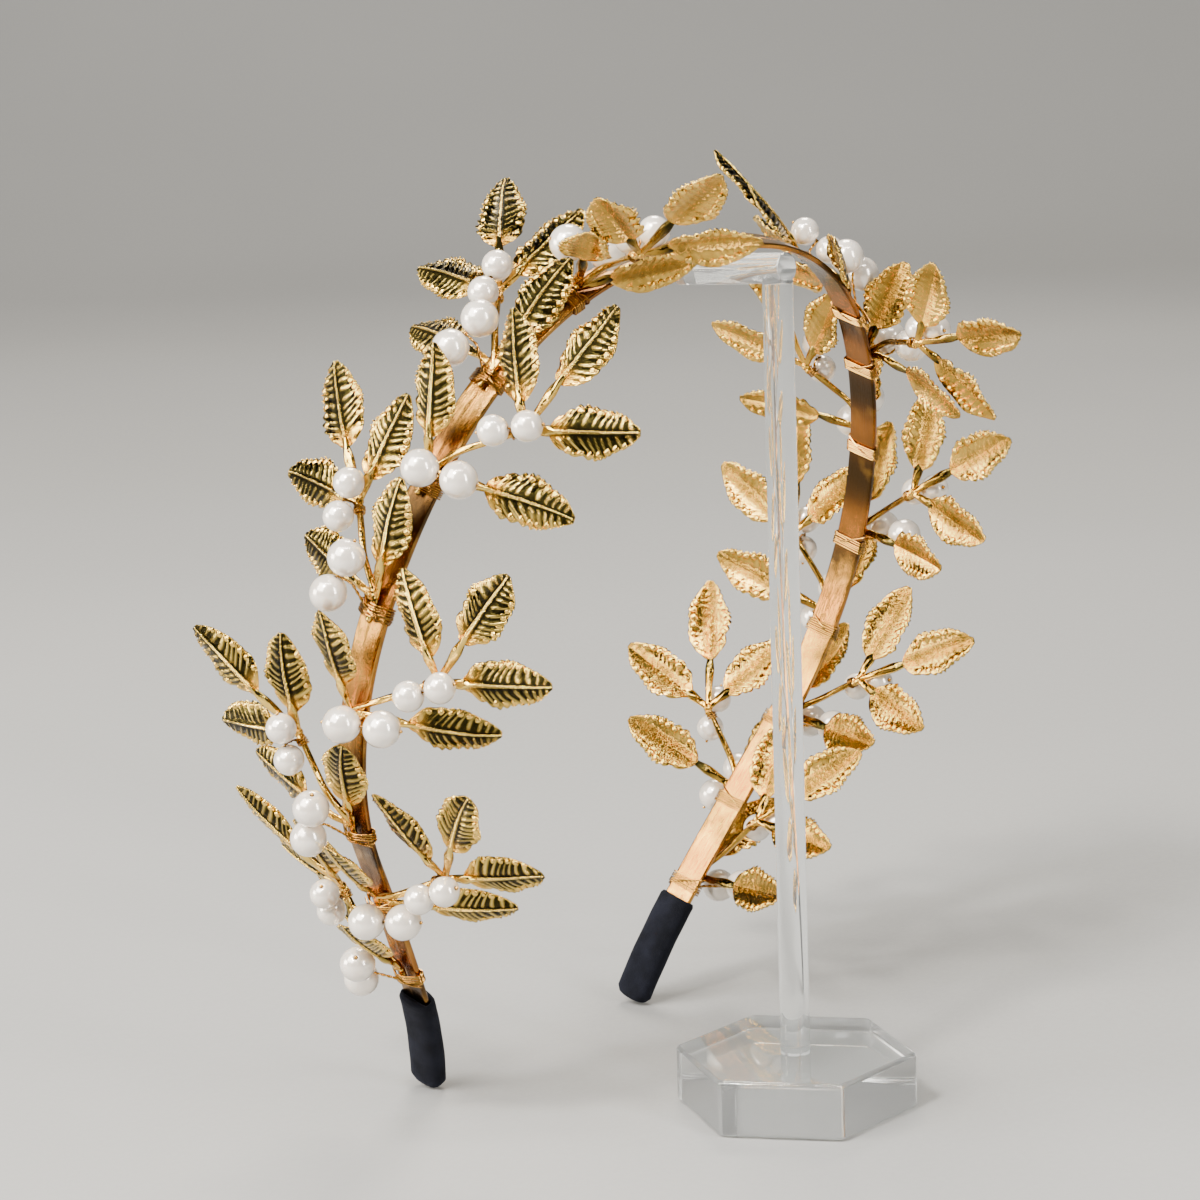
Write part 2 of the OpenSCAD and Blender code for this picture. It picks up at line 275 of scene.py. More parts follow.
def piece(node, part, material, sharp=None):
    """Makes a skin in millimetres an object in metres that stands for a node of the frame."""
    mesh = bpy.data.meshes.new(node + "_look")
    mesh.from_pydata((part.points * MM).tolist(), [], part.quads.tolist() + part.tris.tolist())
    for title, values in (("tone", part.tone), ("root", part.root)):
        mesh.attributes.new(title, "FLOAT", "POINT").data.foreach_set("value", values.astype(np.float32))
    corners = np.zeros(len(mesh.loops), np.int32)
    mesh.loops.foreach_get("vertex_index", corners)
    mesh.uv_layers.new(name="along").data.foreach_set("uv", part.uv[corners].astype(np.float32).ravel())
    mesh.polygons.foreach_set("use_smooth", np.ones(len(mesh.polygons), bool))
    if sharp is not None:
        mesh.set_sharp_from_angle(angle=np.radians(sharp))
    mesh.materials.append(material)
    mesh.update()
    made = linked(mesh.name, mesh)
    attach(made, "root")
    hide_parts(node)
    return made


# %% [markdown]
# A rod, stalk or wire is a ring carried along a path. The ring stands square to the path and one side of it
# faces a given way, so it doesn't twist.

# %% Tubes and smooth curves
def unit(v):
    """Vectors at length 1."""
    return v / np.linalg.norm(v, axis=-1, keepdims=True)


def curve_through(knots, values, x):
    """A smooth curve through values at knots: cubic pieces with the slopes of their neighbours."""
    knots, values, x = np.asarray(knots, float), np.asarray(values, float), np.asarray(x, float)
    slope = np.gradient(values, knots, axis=0)
    i = np.clip(np.searchsorted(knots, x, "right") - 1, 0, len(knots) - 2)
    h = knots[i + 1] - knots[i]
    t = (x - knots[i]) / h
    if values.ndim > 1:
        t, h = t[..., None], h[..., None]
    return ((1 + 2 * t) * (1 - t) ** 2 * values[i] + t * (1 - t) ** 2 * h * slope[i]
            + t * t * (3 - 2 * t) * values[i + 1] + t * t * (t - 1) * h * slope[i + 1])


def tube(path, radius, facing, sides, flat=1.0, **tones):
    """Rings of a radius along a path [n, 3], squeezed by flat along facing, with domed ends. Their tone is
    painted lighter on the side towards facing and darker on the far side, as painted light and shade.
    """
    path, radius = np.asarray(path, float), np.broadcast_to(radius, (len(path),))
    way = unit(np.gradient(path, axis=0))
    across = unit(np.cross(np.broadcast_to(facing, way.shape), way))
    up = np.cross(way, across)
    dome = np.array([0.95, 0.6])
    lift = np.sqrt(1 - dome ** 2)
    head = path[0] - way[0] * (radius[0] * lift[:, None])
    tail = path[-1] + way[-1] * (radius[-1] * lift[::-1, None])
    middle = np.concatenate([head[::-1], path, tail[::-1]])
    size = np.concatenate([radius[0] * dome[::-1], radius, radius[-1] * dome])
    across = np.concatenate([across[[0, 0]], across, across[[-1, -1]]])
    up = np.concatenate([up[[0, 0]], up, up[[-1, -1]]])
    a = 2 * pi * np.arange(sides) / sides
    ring = np.cos(a)[:, None] * across[:, None] + flat * np.sin(a)[:, None] * up[:, None]
    # painted light and shade: the tone is scaled from 0.2 on the far side up to 1.0 on the side towards
    # facing
    tones["tone"] = tones["tone"] * (0.6 + 0.4 * np.sin(a))
    return skin(middle[:, None] + size[:, None, None] * ring, **tones)


def balls(centres, radii, rings=4, sides=6, high=1.0, **tones):
    """Closed balls at many centres at once, their height scaled by high."""
    a = pi * (np.arange(rings)[:, None] + 0.5) / rings
    b = 2 * pi * np.arange(sides) / sides
    one = skin(stacked(np.sin(a) * np.cos(b), np.sin(a) * np.sin(b), -np.cos(a)), **tones)
    centres, radii = np.asarray(centres, float), np.broadcast_to(radii, (len(centres),))
    count, size = len(centres), len(one.points)
    shift = (np.arange(count) * size)[:, None, None]
    points = centres[:, None] + radii[:, None, None] * one.points * [1, 1, high]
    return Skin(points.reshape(-1, 3), (one.quads + shift).reshape(-1, 4), (one.tris + shift).reshape(-1, 3),
                np.tile(one.tone, count), np.tile(one.root, count), np.tile(one.uv, (count, 1)))


# %% [markdown]
# The metals share one look: painted highlights on the crests and painted shade in the hollows, a warm tint
# near the solder that is a real stain on the band and a painted warm reflection on the leaves, and fine
# unevenness.
# That is one node group with its own inputs, placed in each of them.

# %% Node helpers and the plated metal group
def add(tree, kind, settings=(), **inputs):
    """A shader node: settings are its options, inputs its sockets by name."""
    made = tree.nodes.new("ShaderNode" + kind)
    for key, value in dict(settings).items():
        setattr(made, key, value)
    plug(tree, made, **inputs)
    return made


def plug(tree, node, **inputs):
    """Feeds a node's sockets by name; a plain value is set on the socket itself."""
    for key, value in inputs.items():
        feed(tree, node.inputs[key.replace("_", " ")], value)


def feed(tree, socket, value):
    """Links a socket to a socket, or sets it to a value."""
    if isinstance(value, bpy.types.NodeSocket):
        tree.links.new(value, socket)
    else:
        socket.default_value = value


def calc(tree, operation, a, b=0.0):
    """A Math node's value."""
    made = add(tree, "Math", {"operation": operation})
    feed(tree, made.inputs[0], a)
    feed(tree, made.inputs[1], b)
    return made.outputs[0]


def blend(tree, amount, a, b):
    """A colour between a and b."""
    made = add(tree, "Mix", {"data_type": "RGBA"})
    for index, value in ((0, amount), (6, a), (7, b)):
        feed(tree, made.inputs[index], value)
    return made.outputs[2]


def noise(tree, scale, detail=2.0, coords=None):
    """Noise on the object's own coordinates, scale in lumps per metre."""
    coords = coords or add(tree, "TexCoord").outputs["Object"]
    return add(tree, "TexNoise", Vector=coords, Scale=scale, Detail=detail).outputs[0]


def span(tree, value, low, high, to_low=0.0, to_high=1.0):
    """A value carried from one range to another and kept inside it."""
    made = add(tree, "MapRange", Value=value, From_Min=low, From_Max=high, To_Min=to_low, To_Max=to_high)
    return made.outputs[0]


def attribute(tree, name):
    """A value that rides on the mesh."""
    return add(tree, "Attribute", {"attribute_name": name}).outputs["Fac"]


def own_map(tree):
    """The lengths along and around a piece, from its UV map."""
    return add(tree, "UVMap", {"uv_map": "along"}).outputs["UV"]


def bumped(tree, strength, depth_mm, height):
    """The normal of a relief."""
    return add(tree, "Bump", Strength=strength, Distance=depth_mm * MM, Height=height).outputs["Normal"]


plated = bpy.data.node_groups.new("plated metal", "ShaderNodeTree")
for titles, way, kind in (
        ("Tone Root Rough Ripple", "INPUT", "Float"), ("Crest Hollow Warm", "INPUT", "Color"),
        ("Color", "OUTPUT", "Color"), ("Roughness Height", "OUTPUT", "Float")):
    for title in titles.split():
        plated.interface.new_socket(name=title, in_out=way, socket_type="NodeSocket" + kind)
given = plated.nodes.new("NodeGroupInput").outputs
result = plated.nodes.new("NodeGroupOutput").inputs
PATCHY, UNEVEN, GRAINY = 1.3, 0.06, 0.12
patches = noise(plated, 160.0, 3.0)
ripples = noise(plated, 1500.0)
grain = noise(plated, 6000.0, 1.0)
# painted light and shade: the tone attribute, with random patches, mixes the painted shade colour Hollow up
# to the painted highlight colour Crest
lit = calc(plated, "ADD", given["Tone"],
           calc(plated, "MULTIPLY", calc(plated, "SUBTRACT", patches, 0.5), PATCHY))
metal = blend(plated, span(plated, lit, 0.2, 1.2), given["Hollow"], given["Crest"])
# the warm tint: a stain beside the feet on the band, a painted warm reflection near the roots on the leaves
warmth = calc(plated, "MULTIPLY", given["Root"], span(plated, patches, 0.3, 0.6, 0.6, 1.0))
feed(plated, result["Color"], blend(plated, warmth, metal, given["Warm"]))
dull = span(plated, ripples, 0.3, 0.7, 0.0, UNEVEN)
feed(plated, result["Roughness"], calc(plated, "ADD", given["Rough"], dull))
feed(plated, result["Height"], calc(plated, "ADD", calc(plated, "MULTIPLY", ripples, given["Ripple"]),
                                    calc(plated, "MULTIPLY", grain, GRAINY)))
print("group:", plated.name, len(plated.nodes), "nodes")

# %% [markdown]
# Three metals use the group. The leaves get fine slanting lines beside the midrib, the band gets the long
# scratches of brushing, and the wire stays plain.

# %% The metals
def surface(name):
    """A new material: its tree and its Principled shader."""
    made = bpy.data.materials.new(name)
    made.use_nodes = True
    return made, made.node_tree, made.node_tree.nodes["Principled BSDF"]


def plated_metal(name, crest, hollow, warm, rough, ripple, bump_mm, extra_height=None):
    """A material of the plated group with its own colours, roughness and relief."""
    made, tree, shader = surface(name)
    use = tree.nodes.new("ShaderNodeGroup")
    use.node_tree = plated
    plug(tree, use, Tone=attribute(tree, "tone"), Root=attribute(tree, "root"),
         Crest=crest, Hollow=hollow, Warm=warm, Rough=rough, Ripple=ripple)
    height = use.outputs["Height"]
    if extra_height:
        height = calc(tree, "ADD", height, extra_height(tree))
    plug(tree, shader, Base_Color=use.outputs["Color"], Roughness=use.outputs["Roughness"], Metallic=1.0,
         Normal=bumped(tree, 1.0, bump_mm, height))
    return made


def hatch(tree):
    """Fine slanting lines beside a midrib: a wave of length along minus distance across."""
    along = add(tree, "SeparateXYZ", Vector=own_map(tree)).outputs
    aside = calc(tree, "ABSOLUTE", along["Y"])
    wave = calc(tree, "SINE", calc(tree, "MULTIPLY", calc(tree, "SUBTRACT", along["X"], aside), 17.0))
    return calc(tree, "MULTIPLY", wave, span(tree, aside, 0.6, 1.6, 0.5, 0.1))


def brushed(tree):
    """Long fine scratches along a strip: noise stretched along its length."""
    stretched = add(tree, "Mapping", Vector=own_map(tree), Scale=(0.15, 9.0, 1.0)).outputs[0]
    return noise(tree, 1.0, 4.0, stretched)


# crest is each metal's painted highlight colour and hollow its painted shade colour; the leaves' warm colour
# is a painted warm reflection, the band's warm colour is the stain beside the feet
LEAF_GOLD = plated_metal("leaf gold", (0.94, 0.65, 0.15, 1), (0.022, 0.017, 0.004, 1), (0.98, 0.54, 0.08, 1),
                         0.035, 0.8, 0.12, hatch)
BAND_GOLD = plated_metal("band gold", (0.92, 0.45, 0.08, 1), (0.05, 0.028, 0.010, 1), (0.40, 0.15, 0.03, 1),
                         0.12, 0.3, 0.05, brushed)
WIRE_GOLD = plated_metal("wire gold", (0.98, 0.55, 0.13, 1), (0.16, 0.07, 0.01, 1), (0.95, 0.42, 0.07, 1),
                         0.14, 0.3, 0.03)
print("metals:", LEAF_GOLD.name, BAND_GOLD.name, WIRE_GOLD.name)

# %% [markdown]
# The pearls are coated beads: an ivory body that lets a little light in, under a glossy coat, with faint
# cream clouds. Velvet is nearly black and only its nap catches light.

# %% Pearl, velvet and clear plastic
PEARL, tree, shader = surface("pearl")
clouds = span(tree, noise(tree, 220.0), 0.35, 0.65)
tint = blend(tree, clouds, (0.86, 0.77, 0.67, 1), (0.91, 0.84, 0.75, 1))
# inside the drilled bore the colour is mixed towards dark brown
plug(tree, shader, Base_Color=blend(tree, attribute(tree, "tone"), tint, (0.30, 0.20, 0.10, 1)),
     Roughness=span(tree, noise(tree, 900.0), 0.3, 0.7, 0.16, 0.26),
     Normal=bumped(tree, 0.25, 0.03, noise(tree, 1400.0)), Metallic=0.3,
     Subsurface_Weight=0.1, Subsurface_Radius=(1.0, 0.7, 0.5), Subsurface_Scale=0.001,
     Coat_Weight=1.0, Coat_Roughness=0.08, Coat_IOR=1.7)

VELVET, tree, shader = surface("velvet")
nap = noise(tree, 5000.0, 3.0)
brush = noise(tree, 260.0)
pressed = span(tree, brush, 0.35, 0.65)
plug(tree, shader, Base_Color=blend(tree, pressed, (0.002, 0.0025, 0.005, 1), (0.007, 0.008, 0.014, 1)),
     Roughness=span(tree, nap, 0.3, 0.7, 0.8, 1.0),
     Normal=bumped(tree, 0.8, 0.15, calc(tree, "ADD", nap, brush)),
     Sheen_Weight=0.06, Sheen_Roughness=0.35, Sheen_Tint=(0.45, 0.50, 0.75, 1), Specular_IOR_Level=0.15)


def clear_plastic(name, rough_low, rough_high, tint, clearness):
    """Acrylic that bends light as the real one does, with a faint haze from polishing."""
    made, tree, shader = surface(name)
    plug(tree, shader, Roughness=span(tree, noise(tree, 120.0, 3.0), 0.35, 0.7, rough_low, rough_high),
         Normal=bumped(tree, 0.3, 0.05, noise(tree, 90.0, 1.0)),
         Base_Color=tint, IOR=1.49, Transmission_Weight=clearness)
    return made


ACRYLIC = clear_plastic("clear acrylic", 0.0, 0.05, (0.97, 0.99, 0.99, 1), 0.93)
GLUED = clear_plastic("glued acrylic", 0.30, 0.50, (0.97, 0.98, 0.98, 1), 0.0)
print("materials:", [m.name for m in bpy.data.materials])

# %% [markdown]
# A leaf is a thick blade with a round midrib. Its side ribs end in small lobes, tiny beads sit along its
# margin, and wide flat drops of metal stand on its back. A plain grid would cut across the slanting ribs, so
# each row of points follows one rib from the midrib to the margin, and the relief stays crisp.

# %% One leaf blade
BLADE = np.array([[0.00, 0.12, 0.02], [0.10, 0.56, 0.40], [0.28, 0.92, 0.85], [0.48, 1.00, 1.00],
                  [0.68, 0.84, 0.90], [0.88, 0.50, 0.50], [1.00, 0.14, 0.05]])  # along, half width, drop
LEAF_CUP, LEAF_BOW, RIB_H = 1.3, 1.6, 0.35
RIBS, PER_RIB, RIB_SLANT, RIB_CURVE, RIB_DRIFT = 11, 6, 0.95, 1.6, 0.3
RIB_DEEP, GROOVE, LEAF_BACK, LOBE, SWELL = 0.42, 0.14, 0.42, 0.15, 0.06
# points across: on the midrib in its radii, then from there to the margin, and on the back
IN_RIB = np.array([0, 0.45, 0.8, 1.0, 1.3])
TO_MARGIN = np.array([0.18, 0.38, 0.6, 0.8, 0.93, 1.0])
BACK_AT = np.array([0.93, 0.7, 0.45, 0.2])
# painted light on the metal, low for painted shade and high for painted highlights: everywhere, on flat ribs,
# up a rib, on its crest, at the root, on the margin
DARK, FLAT_LIT, RISE_LIT, CREST_LIT, ROOT_LIT, MARGIN_LIT = 0.02, 0.3, 0.12, 0.65, 0.7, 0.8
# the back: its relief, its painted light and its painted warm reflection
BACK_DEPTH, BACK_LIT, BACK_WARM = 0.4, 0.5, 0.4
BEAD_R, BEADS_AT = 0.14, np.arange(0.34, 0.96, 0.031)
DROP_R, DROP_HIGH, DROPS_AT = 0.68, 0.62, np.linspace(0.12, 0.80, 7)
draw = np.random.default_rng(11)


def half_width(t):
    """Half width of the blade in mm at a part t of its length."""
    return LEAF_W / 2 * np.maximum(curve_through(BLADE[:, 0], BLADE[:, 1], np.clip(t, 0, 1)), 0.03)


def blade_height(t, part, shape):
    """Height of the plain blade: it bows down with t squared, and its margin drops with part squared."""
    half = half_width(t)
    drop = LEAF_CUP * curve_through(BLADE[:, 0], BLADE[:, 2], np.clip(t, 0, 1))
    wave = shape["wave"] * np.sin(2 * pi * (1.6 * t + shape["phase"]) + np.sign(part))
    return -LEAF_BOW * t ** 2 - (drop - wave * half / 4) * part ** 2 + shape["roll"] * part * half


def rib_tone(t, part, profile, crest, gain):
    """Painted light and shade on the metal: painted shade in the grooves, painted highlights on the crests,
    along the margin and at the root.
    """
    lit = DARK + FLAT_LIT * np.clip(1 - gain, 0, 1) + RISE_LIT * profile + CREST_LIT * crest
    lit = lit + ROOT_LIT * np.exp(-(t / 0.12) ** 2)
    return np.clip(np.where(np.abs(part) > 0.9, np.maximum(lit, MARGIN_LIT), lit), 0, 1)


def blade_point(u, part, shape, depth=1.0):
    """Point of the ribbed blade at rib place u and part of the half width, and its painted light and shade.

    x = L (u + slant |part|^curve half width), so a rib leaves the midrib squarely and sweeps to the tip.
    The ribs are |sin(pi place)|, round on top with a narrow groove between, where place is RIBS u, half a rib
    on for the left side, and drifts a little. Each rib has its own gain. They grow towards the margin, where
    each ends in a lobe that stands out past the groove's end.
    """
    u, part = np.broadcast_arrays(u, part)
    t = u + RIB_SLANT * np.abs(part) ** RIB_CURVE * half_width(u) / LEAF_LEN * (1 - u)
    half = half_width(t)
    drift = RIB_DRIFT * np.sin(2 * pi * (1.7 * u + shape["phase"] + part / 4))
    place = RIBS * u + np.where(part < 0, 0.5, 0.0) + drift
    gain = shape["gain"][np.maximum(np.floor(place).astype(int), 0) + (RIBS + 2) * (part < 0)]
    profile = np.abs(np.sin(pi * place))
    reach = np.clip((np.abs(part) - 0.2) / 0.6, 0, 1)
    relief = RIB_DEEP * gain * (profile - 0.62) * (0.25 + 0.75 * reach) * np.minimum(1, half / 2)
    swell = SWELL * np.sin(2 * pi * (2.3 * t + shape["phase"] + np.where(part < 0, 0.4, 0.0)))
    y = part * half * (1 + swell + LOBE * gain * (profile - 0.7) * np.abs(part) ** 3)
    y = y + shape["hook"] * np.clip(t, 0, 1) ** 4
    z = blade_height(t, part, shape) + depth * relief
    # a painted highlight along each rib's crest, stronger on ribs of more gain
    crest = np.exp(-((place % 1 - 0.55) / 0.18) ** 2) * (0.2 + 0.8 * gain)
    return t * LEAF_LEN, y, z, rib_tone(t, part, profile, crest, gain)


def leaf_blade(shape):
    """A closed blade: rows of points follow the side ribs over the front and come back under them.

    The midrib is half a circle across, of radius middle, with a shallow groove on both sides.
    """
    u = np.arange(RIBS * PER_RIB + 1)[:, None] / (RIBS * PER_RIB)
    middle = np.minimum(0.18 + 0.26 * (1 - u), 0.45 * half_width(u))
    start = 1.3 * middle / half_width(u)
    wide = start + (1 - start) * TO_MARGIN
    right = np.concatenate([np.broadcast_to(IN_RIB * middle / half_width(u), (len(u), 5)), wide], 1)
    front = np.concatenate([right[:, ::-1], -right[:, 1:]], 1)
    back = np.concatenate([-BACK_AT, [0], BACK_AT[::-1]])[None]
    x, y, z, lit = blade_point(u, front, shape)
    off = np.abs(front) * half_width(u) / middle
    rib = RIB_H * (1 - u / 2) * np.minimum(1, half_width(u)) * np.sqrt(np.clip(1 - off ** 2, 0, 1))
    groove = GROOVE * np.exp(-((off - 1.3) / 0.5) ** 2) * np.minimum(1, half_width(u) / 2)
    # a painted highlight over the midrib and painted shade in the groove beside it
    tone = np.where(off < 0.95, 1.0, lit)
    tone = np.where(np.abs(off - 1.15) < 0.2, 0.0, tone)
    xb, yb, zb, lit_b = blade_point(u, back, shape, BACK_DEPTH)
    thick = (LEAF_BACK - 0.14 * np.abs(back)) * np.minimum(1, 0.5 + half_width(u) / 2)
    rings = np.concatenate([stacked(x, y, z + rib - groove), stacked(xb, yb, zb - thick)], 1)
    # painted light on the back: BACK_LIT plus part of its rib light
    tones = np.concatenate([tone, BACK_LIT + 0.3 * lit_b], 1)
    # painted warm reflection: warm near the leaf's root, and at least BACK_WARM over the whole back
    roots = np.clip(1.25 - rings[..., 0] / 3.2, 0, 1) ** 1.5
    turned = front.shape[1]
    roots[:, turned:] = np.maximum(roots[:, turned:], BACK_WARM)
    return skin(rings, tones, roots, rings[..., :2])


def margin_beads(shape):
    """Beads close together along both margins, half sunk into the metal, painted as full highlights."""
    u = np.tile(BEADS_AT, 2)
    x, y, z, _ = blade_point(u, np.repeat([0.97, -0.97], len(BEADS_AT)), shape)
    size = BEAD_R * np.minimum(1, 0.45 + half_width(u) / 3)
    beads = balls(stacked(x, y, z + 0.05), size, tone=1.0)
    return beads._replace(uv=beads.points[:, :2])


def back_drops(shape):
    """Wide flat drops along both sides of the back, half sunk, painted as full highlights with a little
    painted warm reflection.
    """
    aside = np.repeat([0.78, -0.78], len(DROPS_AT))
    x, y, z, _ = blade_point(np.tile(DROPS_AT, 2), aside, shape, BACK_DEPTH)
    size = DROP_R * np.minimum(1, half_width(x / LEAF_LEN) / 3)
    drops = balls(stacked(x, y, z - 0.25), size, 6, 10, DROP_HIGH, tone=1.0, root=0.3)
    return drops._replace(uv=drops.points[:, :2])


trial = dict(wave=0.2, phase=0.0, roll=0.0, hook=0.3, gain=np.ones(2 * RIBS + 4))
print("a blade has", triangles(leaf_blade(trial)), "triangles")

# %% [markdown]
# The stems are wire, soldered at the foot, at the elbow and at the fork. Their corners are small bends, so a
# path is given by its corners and each is rounded by a short curve.

# %% Bent wire
def rounded(corners, reach, steps=5):
    """A path whose inner corners c become curves (1-w)^2 a + 2w(1-w) c + w^2 b."""
    corners = np.asarray(corners, float)
    before, after = corners[:-2], corners[2:]
    c = corners[1:-1]
    cut_in = np.minimum(reach, 0.45 * np.linalg.norm(c - before, axis=1))[:, None]
    cut_out = np.minimum(reach, 0.45 * np.linalg.norm(after - c, axis=1))[:, None]
    a, b = c + cut_in * unit(before - c), c + cut_out * unit(after - c)
    w = np.linspace(0, 1, steps)[None, :, None]
    curves = (1 - w) ** 2 * a[:, None] + 2 * w * (1 - w) * c[:, None] + w ** 2 * b[:, None]
    return np.concatenate([corners[:1], curves.reshape(-1, 3), corners[-1:]])


def even(path, step):
    """The same path with points about a step apart."""
    run = run_of(path)
    at = np.linspace(0, run[-1], max(3, int(round(run[-1] / step)) + 1))
    return np.stack([np.interp(at, run, path[:, k]) for k in range(3)], -1)


def lump(at, size):
    """A blob of solder: a ball whose three radii differ a little."""
    # the blob is painted mostly lit, with a painted warm reflection
    one = balls([[0, 0, 0]], 1.0, 10, 14, tone=0.7, root=0.7)
    return one._replace(points=one.points * size + at)


def swing(point, degrees):
    """A point turned about Z."""
    return turn("Z", degrees) @ point


# %% [markdown]
# A sprig is built in its own frame, with X to the crown, Y past the band's edge and Z outwards. Each leaf
# draws its own bends and rib strengths from one seeded generator.

# %% The sixteen sprigs
STALK_IN, STALK_WIDE = 3.2, 1.55


def leaf_frame(row, leaf):
    """Frame of a leaf in its sprig: at its root, turned to its heading, then raised."""
    root = [np.zeros(3), ELBOW, swing(FORK, row.stem)][leaf.root]
    heading = leaf.heading + [row.first, row.stem / 2, row.fan][leaf.root]
    return placed(turn("Z", heading) @ turn("Y", -leaf.rise), root)


def small_place(row):
    """Where the small pair sits, in the sprig's frame."""
    return swing(FORK, row.stem) + SMALL_AT


def leaf_and_stalk(row, leaf):
    """A leaf with its stalk, which thins out along the midrib, in the sprig's frame."""
    shape = dict(wave=draw.uniform(0.1, 0.5), phase=draw.random(), roll=draw.uniform(-0.10, 0.10),
                 hook=draw.uniform(-0.8, 0.8), gain=draw.uniform(0.55, 1.35, 2 * RIBS + 4))
    frame_here = leaf_frame(row, leaf)
    shift = placed(np.eye(3), (leaf.stalk, 0, 0))
    blade = moved(joined([leaf_blade(shape), margin_beads(shape), back_drops(shape)]), frame_here @ shift)
    t = np.linspace(0, STALK_IN / LEAF_LEN, 6)
    inside = stacked(leaf.stalk + t * LEAF_LEN, shape["hook"] * t ** 4, -LEAF_BOW * t ** 2 + 0.05)
    path = carried(frame_here, [[0, 0, 0], [leaf.stalk * 0.6, 0, -0.12], *inside])
    if leaf.root == 1:
        path = np.concatenate([[[0, 0, 0]], path])
    path = even(rounded(path, 0.8), 0.35)
    run = np.linspace(0, 1, len(path))
    swollen = 0.8 + 0.4 * np.exp(-((run - 0.6) / 0.25) ** 2)
    taper = 1 - 0.6 * np.clip((run - 0.6) / 0.4, 0, 1)
    # painted warm reflection where the stalk leaves the sprig
    root = np.concatenate([[0.8, 0.8], np.clip(0.8 - 1.2 * run, 0, 1), [0, 0]])[:, None]
    stalk = tube(path, STALK_WIDE / 2 * swollen * taper, frame_here[:3, 2], 12, 0.7, tone=1.0, root=root)
    return joined([blade, stalk])


def sprig_skin(row):
    """All of one sprig in the shared frame."""
    foot, spring = sprig_foot(row), bent(row)
    fork, bend = swing(FORK, row.stem), swing(BEND, row.stem)
    stem = np.concatenate([carried(foot, [[-FOOT_LEN, 0, 0.05], [-1.2, 0, 0]]),
                           carried(spring, [[0, 0, 0], bend, fork])])
    stem = even(rounded(stem, 1.6), 0.45)
    run = np.linspace(0, 1, len(stem))
    radius = STEM_D / 2 * (1 - 0.12 * run + 0.05 * np.sin(9 * run + row.start))
    lumps = [lump(at, size) for at, size in (
        (fork, (0.95, 0.85, 0.75)), (fork + [-0.7, -0.5, 0.15], (0.8, 0.7, 0.7)),
        (ELBOW * 0.25, (0.95, 0.8, 0.7)), (ELBOW, (0.55, 0.6, 0.55)))]
    parts = [leaf_and_stalk(row, leaf) for leaf in LEAVES]
    wire = tube(stem, radius, spring[:3, 2], 14, tone=0.9, root=0.35)
    return joined([moved(joined(parts + lumps), spring), wire])


for i, row in enumerate(SPRIGS):
    sprig = sprig_skin(row)
    piece(f"sprig_{i + 1}", sprig, LEAF_GOLD)
print("sprig_16 has", triangles(sprig), "triangles")

# %% [markdown]
# A pearl is turned, so it is a profile carried round an axis. The profile runs over the outside from one end
# of the drilled hole to the other and comes back through the hole, so the surface is a closed ring.

# %% Drilled pearls in pairs
def drilled(diameter):
    """A drilled ball along X: an arc of the ball, two softened edges and a straight bore, turned about X."""
    r, bore, around, over = diameter / 2, HOLE_D / 2, 24, 20
    edge = np.arcsin((bore + 0.12) / r)
    arc = np.linspace(edge, pi - edge, over)
    outside = stacked(-r * np.cos(arc), r * np.sin(arc))
    lip_x = r * np.cos(edge) - 0.05
    inside = np.array([[lip_x, bore + 0.03], [lip_x - 0.15, bore], [0, bore],
                       [0.15 - lip_x, bore], [-lip_x, bore + 0.03]])
    profile = np.concatenate([outside, inside])
    a = 2 * pi * np.arange(around) / around
    rings = stacked(profile[:, :1], profile[:, 1:] * np.cos(a), profile[:, 1:] * np.sin(a))
    # the tone marks the bore, where the pearl turns dark brown
    hole = np.concatenate([np.zeros(over), [0.6, 1, 1, 1, 0.6]])[:, None]
    return skin(rings, tone=hole, loop=True)


def pair_axis(degrees):
    """Direction from one pearl of a pair to the other; a pair across the band is tilted with it."""
    tilt, heading = np.radians(PAIR_TILT * np.sin(np.radians(degrees))), np.radians(degrees)
    return np.array([np.cos(tilt) * np.cos(heading), np.cos(tilt) * np.sin(heading), np.sin(tilt)])


def facing_along(direction, at):
    """A frame whose X runs along a direction."""
    x = unit(np.asarray(direction, float))
    y = unit(np.cross([0.3, 0.2, 1.0], x))
    return placed(stacked(x, y, np.cross(x, y)), at)


def pearl_pair(at, axis, diameter):
    """Two drilled pearls side by side on one axis."""
    reach = (diameter + PAIR_GAP) / 2
    one = drilled(diameter)
    return joined([moved(one, facing_along(axis, at + side * reach * axis)) for side in (-1, 1)])


for i, row in enumerate(SPRIGS):
    pair = joined([pearl_pair(BIG_AT, pair_axis(row.big), BIG_D),
                   pearl_pair(small_place(row), pair_axis(row.small), SMALL_D)])
    piece(f"pearls_{i + 1}", moved(pair, bent(row)), PEARL)
print("pearls:", 4 * len(SPRIGS))

# %% [markdown]
# Thin wire is wound about the band and the foot of a sprig and threaded through each pair of pearls, and its
# ends run back to a winding. A winding is a loop carried along while it turns.

# %% Wire windings and threads
WIND_TURNS, WIND_LEN, WIND_SIDES = 6, 2.3, 6
TIE_TOP = 0.6 * STEM_D + GAP + WIRE_D / 2
TIE_LOOP = np.array([[0, 0.93], [1.1, 0.72], [2.93, -0.5], [3.02, -1.2], [2.93, -1.86], [1.4, -1.93]])


